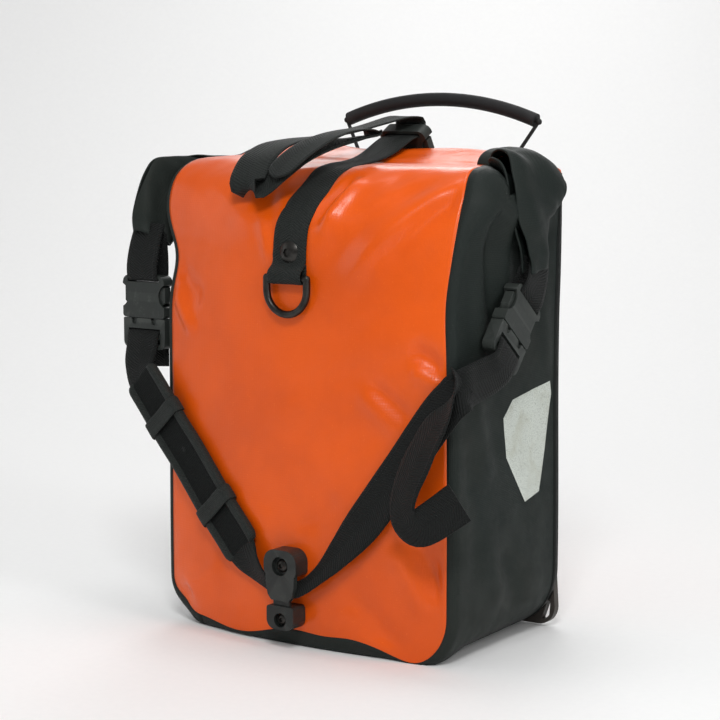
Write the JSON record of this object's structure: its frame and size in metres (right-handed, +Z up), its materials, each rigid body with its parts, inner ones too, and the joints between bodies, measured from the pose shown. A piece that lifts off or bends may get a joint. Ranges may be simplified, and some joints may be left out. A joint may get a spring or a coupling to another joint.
{
  "type": "pannier bag",
  "caption": "Roll-top pannier bag for a bicycle rack: sliding rack hooks with latches, arc rail with lower hook, shoulder strap, buckles and reflectors.",
  "frame": {"origin": "centre of the flat base, at z = 0", "axes": "+X to the right seen from the outer face, +Y towards the bicycle rack, +Z up"},
  "size_m": [0.2783, 0.1851, 0.3339],
  "materials": {
    "orange_fabric": "glossy coated weave",
    "charcoal_fabric": "matte coated weave",
    "webbing": "woven",
    "pad_fabric": "matte padded",
    "reflective_film": "satin retroreflective",
    "black_plastic": "moulded, fine texture",
    "grey_plastic": "moulded, fine texture",
    "smooth_plastic": "satin sheet",
    "grip_rubber": "satin",
    "steel": "satin",
    "black_steel": "black oxide"
  },
  "bodies": {
    "bag": {"front_panel": "orange_fabric", "back_panel": "orange_fabric", "gusset": "charcoal_fabric", "roll_top": "orange_fabric", "roll_stiffener": "smooth_plastic", "back_stiffener": "smooth_plastic", "left_reflector": "reflective_film", "right_reflector": "reflective_film", "scuff_plate": "smooth_plastic", "edge_guard": "grey_plastic", "guard_screws": "black_steel", "hook_rail": "black_plastic", "rail_screws": "black_steel", "lower_rail": "grey_plastic", "lower_rail_screws": "black_steel", "inner_nuts": "steel", "strap_retainer": "black_plastic", "retainer_screws": "steel", "top_strap": "webbing", "top_strap_tail": "webbing", "top_strap_screw": "black_steel", "rail_strap": "webbing", "left_ear_strap": "webbing", "right_ear_strap": "webbing", "shoulder_strap": "webbing", "strap_tail": "webbing", "left_socket": "black_plastic", "right_socket": "black_plastic", "top_socket": "black_plastic", "left_plug": "black_plastic", "right_plug": "black_plastic", "top_plug": "black_plastic"},
    "left_hook": {"left_hook": "black_plastic", "left_latch_pin": "steel", "left_latch_spring": "steel"},
    "right_hook": {"right_hook": "black_plastic", "right_latch_pin": "steel", "right_latch_spring": "steel"},
    "left_latch": {"left_latch": "black_plastic"},
    "right_latch": {"right_latch": "black_plastic"},
    "handle": {"handle_grip": "grip_rubber", "handle_cord": "webbing"},
    "lower_slider": {"lower_slider": "black_plastic", "lower_hook_screw": "black_plastic"},
    "lower_hook": {"lower_hook": "grey_plastic"},
    "d_ring": {"d_ring": "black_plastic"},
    "shoulder_pad": {"shoulder_pad": "pad_fabric", "pad_bands": "webbing"},
    "left_plug_arm_a": {"left_plug_arm_a": "black_plastic"},
    "left_plug_arm_b": {"left_plug_arm_b": "black_plastic"},
    "right_plug_arm_a": {"right_plug_arm_a": "black_plastic"},
    "right_plug_arm_b": {"right_plug_arm_b": "black_plastic"},
    "top_plug_arm_a": {"top_plug_arm_a": "black_plastic"},
    "top_plug_arm_b": {"top_plug_arm_b": "black_plastic"}
  },
  "joints": [
    {"name": "left_hook_slide", "type": "slide", "parent": "bag", "child": "left_hook", "axis": [1, 0, 0], "range_m": [-0.012, 0.012]},
    {"name": "right_hook_slide", "type": "slide", "parent": "bag", "child": "right_hook", "axis": [1, 0, 0], "range_m": [-0.012, 0.012]},
    {"name": "handle_lift", "type": "hinge", "parent": "left_hook", "child": "handle", "pos_m": [0, 0.0845, 0.2905], "axis": [1, 0, 0], "range_deg": [0, 25]},
    {"name": "left_latch_turn", "type": "hinge", "parent": "left_hook", "child": "left_latch", "pos_m": [-0.057, 0.0845, 0.2905], "axis": [1, 0, 0], "range_deg": [0, 10.6]},
    {"name": "right_latch_turn", "type": "hinge", "parent": "right_hook", "child": "right_latch", "pos_m": [0.057, 0.0845, 0.2905], "axis": [1, 0, 0], "range_deg": [0, 10.6]},
    {"name": "lower_slider_swing", "type": "hinge", "parent": "bag", "child": "lower_slider", "pos_m": [0, 0.063, 0.331], "axis": [0, 1, 0], "range_deg": [-12, 12]},
    {"name": "lower_hook_turn", "type": "hinge", "parent": "lower_slider", "child": "lower_hook", "pos_m": [0, 0.069, 0.091], "axis": [0, 1, 0], "continuous": true},
    {"name": "d_ring_swing", "type": "hinge", "parent": "bag", "child": "d_ring", "pos_m": [0, -0.0774, 0.225], "axis": [-1, 0, 0], "range_deg": [0, 95]},
    {"name": "pad_slide", "type": "slide", "parent": "bag", "child": "shoulder_pad", "axis": [0.6714, -0.0872, -0.7359], "range_m": [-0.01, 0.01]},
    {"name": "left_button_a", "type": "hinge", "parent": "bag", "child": "left_plug_arm_a", "pos_m": [-0.12, -0.054, 0.1896], "axis": [0, -1, 0], "range_deg": [0, 10]},
    {"name": "left_button_b", "type": "hinge", "parent": "bag", "child": "left_plug_arm_b", "pos_m": [-0.136, -0.054, 0.1896], "axis": [0, 1, 0], "range_deg": [0, 10.2]},
    {"name": "right_button_a", "type": "hinge", "parent": "bag", "child": "right_plug_arm_a", "pos_m": [0.1142, -0.00641, 0.18602], "axis": [1, 0, 0], "range_deg": [0, 10]},
    {"name": "right_button_b", "type": "hinge", "parent": "bag", "child": "right_plug_arm_b", "pos_m": [0.1142, -0.01867, 0.1963], "axis": [-1, 0, 0], "range_deg": [0, 10.2]},
    {"name": "top_button_a", "type": "hinge", "parent": "bag", "child": "top_plug_arm_a", "pos_m": [0.008, 0.0615, 0.28612], "axis": [0, -0.866, -0.5], "range_deg": [0, 10]},
    {"name": "top_button_b", "type": "hinge", "parent": "bag", "child": "top_plug_arm_b", "pos_m": [-0.008, 0.0615, 0.28612], "axis": [0, 0.866, 0.5], "range_deg": [0, 10.2]}
  ],
  "couplings": [
    {"joint": "right_hook_slide", "follows": "left_hook_slide", "ratio": 1},
    {"joint": "left_latch_turn", "follows": "handle_lift", "ratio": 0.42},
    {"joint": "right_latch_turn", "follows": "handle_lift", "ratio": 0.42},
    {"joint": "left_button_b", "follows": "left_button_a", "ratio": 1},
    {"joint": "right_button_b", "follows": "right_button_a", "ratio": 1},
    {"joint": "top_button_b", "follows": "top_button_a", "ratio": 1}
  ]
}
